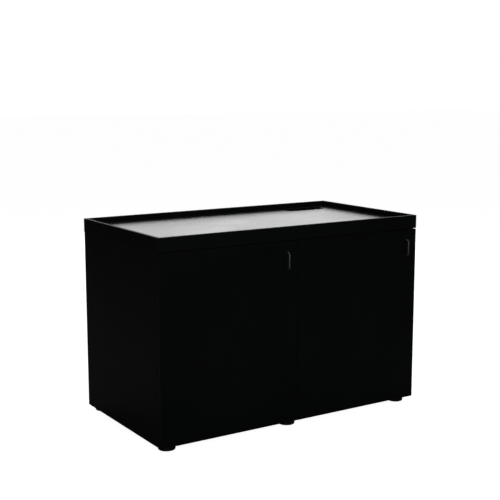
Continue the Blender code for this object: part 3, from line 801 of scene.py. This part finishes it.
def cup_mesh(node, door, pin):
    """A pressed cup with its flange, its two ears and the pin that the link turns on."""
    low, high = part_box(node)
    depth = high.y - low.y
    flange = high.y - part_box(door)[1].y - PANEL_GAP
    inner = CUP_RADIUS - CUP_WALL
    outer = CUP_RADIUS + CUP_WALL
    inside = [(0.0, CUP_FLOOR)]
    inside += arc((inner - CUP_WALL, CUP_FLOOR + CUP_WALL), CUP_WALL, -90, 0, 4)
    rim = [
        (inner + CUP_LIP, depth),
        (outer, depth),
        (outer, depth - flange),
        (CUP_RADIUS, depth - flange),
    ]
    outside = arc((CUP_RADIUS - CUP_WALL, CUP_WALL), CUP_WALL, 0, -90, 4) + [(0.0, 0.0)]
    cup = solid("cup", turned(inside + rim + outside, 64))

    outline = rounded_rectangle((0.0, 0.0), CUP_EAR_HALF, (high.z - low.z) / 2, CUP_EAR_CORNER)
    margin = flange * (1 - CUP_EAR_SHARE) / 2
    ears = solid("ears", prism(outline, depth - flange + margin, depth - margin))
    core = [(0.0, 2 * depth), (CUP_RADIUS, 2 * depth), (CUP_RADIUS, 0.0), (0.0, 0.0)]
    shaped(ears, [solid("core", turned(core, 64))])
    shaped(cup, [ears], "UNION")

    place = Matrix.Translation((CUP_CENTRE, low.y - pin.y, 0.0))
    cup.data.transform(place @ POINT_BACK)
    chord = math.sqrt(inner ** 2 - CUP_CENTRE ** 2) + CUP_WALL / 2
    bar = [(0.0, chord), (PIN_RADIUS, chord), (PIN_RADIUS, -chord), (0.0, -chord)]
    shaped(cup, [solid("pin", turned(bar, 24))], "UNION")
    return finished(cup, "nickel", smooth=30.0)


def make_hinges():
    adjuster = screw_mesh("nickel", *ADJUSTER_SCREW)
    cup_screw = screw_mesh("nickel", *CUP_SCREW)
    plate_screw = screw_mesh("nickel", *PLATE_SCREW)
    head = SCREW_HEADS["hinge"]
    for side in SIDES:
        arm_pin = Vector(JOINTS[side + "_link_swing"]["pos_m"])
        cup_pin = Vector(JOINTS[side + "_door_swing"]["pos_m"])
        first = side + "_lower"
        arm = arm_mesh("hinge_arm_" + first, "hinge_plate_" + first, arm_pin)
        cup = cup_mesh("hinge_cup_" + first, side + "_door", cup_pin)
        spread = size("hinge_screw_" + first)
        fixing = screw_mesh("nickel", spread.z / 2, head, SCREW_SHANKS["hinge"], spread.x - head)
        for level in LEVELS:
            name = f"{side}_{level}"
            leaf = side + "_leaf"
            z = middle("hinge_link_" + name).z
            arm_place = (arm_pin.x, arm_pin.y, z)
            put("channel_arm_" + name, arm, arm_place, "carcass", "hinge_arm_" + name)
            cup_place = (cup_pin.x, cup_pin.y, z)
            put("pressed_cup_" + name, cup, cup_place, leaf, "hinge_cup_" + name)
            make_arm_screws(name, fixing, adjuster)
            make_wood_screws(side, name, z, cup_screw, plate_screw)


def make_arm_screws(name, fixing, adjuster):
    """The screw that fixes an arm to its plate, and the one in front that shifts the door."""
    node = "hinge_screw_" + name
    low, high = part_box(node)
    seat = Vector((high.x - SCREW_HEADS["hinge"], (low.y + high.y) / 2, (low.z + high.z) / 2))
    put("fixing_" + name, fixing, seat, "carcass", node, POINT_LEFT)
    ahead = seat - Vector((0.0, ADJUSTER_SHIFT, 0.0))
    put("adjuster_" + name, adjuster, ahead, "carcass", turn=POINT_LEFT)


def make_wood_screws(side, name, z, cup_screw, plate_screw):
    """Two screws through the cup's ears and two through the plate's wings."""
    plate_low, plate_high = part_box("hinge_plate_" + name)
    cup_low, cup_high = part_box("hinge_cup_" + name)
    ear_x = (cup_low.x + cup_high.x) / 2
    wing_x = plate_low.x + PLATE_THICKNESS
    wing_y = (plate_low.y + plate_high.y) / 2 - PLATE_SCREW_SHIFT
    for end, sign in (("low", -1), ("high", 1)):
        ear = (ear_x, cup_high.y, z + sign * CUP_SCREW_SPREAD)
        put(f"cup_screw_{name}_{end}", cup_screw, ear, side + "_leaf", turn=POINT_FRONT)
        wing = (wing_x, wing_y, z + sign * PLATE_SCREW_SPREAD)
        put(f"plate_screw_{name}_{end}", plate_screw, wing, "carcass", turn=POINT_LEFT)


# Bumpers and cam caps

def bumper_mesh(radius, height):
    """A low dome along Z, flat at z = 0."""
    profile = [(0.0, height)]
    for degrees in range(75, -1, -15):
        angle = math.radians(degrees)
        crown = BUMPER_SHOULDER + (1 - BUMPER_SHOULDER) * math.sin(angle)
        profile.append((radius * math.cos(angle), height * crown))
    profile += [(radius, 0.0), (0.0, 0.0)]
    return finished(solid("bumper", turned(profile, 32)), "rubber")


def make_bumpers():
    spread = size("bumper_left_lower")
    mesh = bumper_mesh(spread.x / 2, spread.y)
    for side in SIDES:
        for level in LEVELS:
            node = f"bumper_{side}_{level}"
            low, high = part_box(node)
            seat = ((low.x + high.x) / 2, low.y, (low.z + high.z) / 2)
            put("domed_" + node, mesh, seat, side + "_leaf", node, POINT_BACK)


def cam_cap_mesh():
    """A snap-in cap over a cam fitting, with a shallow dish and a coin slot."""
    profile = [(CAM_RADIUS * out, CAM_HEIGHT * up) for out, up in CAM_OUTLINE]
    cap = solid("cam_cap", turned(profile, 40))
    reach = CAM_RADIUS * CAM_SLOT_REACH
    slot_low = (-reach, -CAM_SLOT_HALF_WIDTH, CAM_HEIGHT * CAM_SLOT_FLOOR)
    slot_high = (reach, CAM_SLOT_HALF_WIDTH, CAM_HEIGHT)
    slot = solid("slot", block(slot_low, slot_high))
    return finished(shaped(cap, [slot]), "plastic")


def make_cam_caps():
    """Four caps on each upright face that looks into a compartment."""
    mesh = cam_cap_mesh()
    faces = {
        "left_side": ("left_side_panel", 1),
        "divider_left": ("centre_divider", -1),
        "divider_right": ("centre_divider", 1),
        "right_side": ("right_side_panel", -1),
    }
    for face, (panel, sign) in faces.items():
        low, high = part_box(panel)
        x = high.x if sign > 0 else low.x
        turn = Matrix.Rotation(math.radians(90 * sign), 4, "Y")
        for row, y in (("front", low.y + CAM_SETBACK), ("rear", high.y - CAM_SETBACK)):
            for level, z in (("lower", low.z + CAM_INSET), ("upper", high.z - CAM_INSET)):
                name = f"cam_cap_{face}_{row}_{level}"
                put(name, mesh, (x, y, z), "carcass", turn=turn)


# Finishes of the CAD solids that stay

def joined(node):
    """Joins a CAD solid's faces along their shared edges."""
    weld = node.modifiers.new("weld", "WELD")
    weld.merge_threshold = WELD_REACH


def dress_boards():
    """Each board's laminate follows the axis that its faces look along."""
    finishes = {
        "board_x": ["left_side_panel", "right_side_panel", "centre_divider"],
        "board_y": ["front_rail_left", "front_rail_right", "back_panel_left", "back_panel_right"],
        "board_z": ["bottom_panel"],
        "bed": ["top_panel"],
        "door": ["left_door", "right_door"],
        "rim_x": ["rim_left", "rim_right"],
        "rim_y": ["rim_front", "rim_rear"],
    }
    for finish, names in finishes.items():
        for name in names:
            frame["nodes"][name].material_slots[0].material = MATERIALS[finish]
            joined(frame["nodes"][name])


def dress_hinge_parts():
    """Links and plates keep their solids, with nickel and softened edges."""
    for name, node in frame["nodes"].items():
        if name.startswith(("hinge_link", "hinge_plate")):
            node.material_slots[0].material = MATERIALS["nickel"]
            joined(node)
            bevel = node.modifiers.new("edges", "BEVEL")
            bevel.width = PRESSED_EDGE
            bevel.segments = 2
            bevel.limit_method = "ANGLE"
            bevel.angle_limit = math.radians(SHARP_ANGLE)


make_camera()
MATERIALS = make_materials()
dress_boards()
dress_hinge_parts()
make_handles()
make_feet()
make_foot_screws()
make_handle_screws()
make_hinges()
make_bumpers()
make_cam_caps()
make_floor()
make_world()
make_lights()
bpy.context.scene.view_settings.view_transform = "Standard"
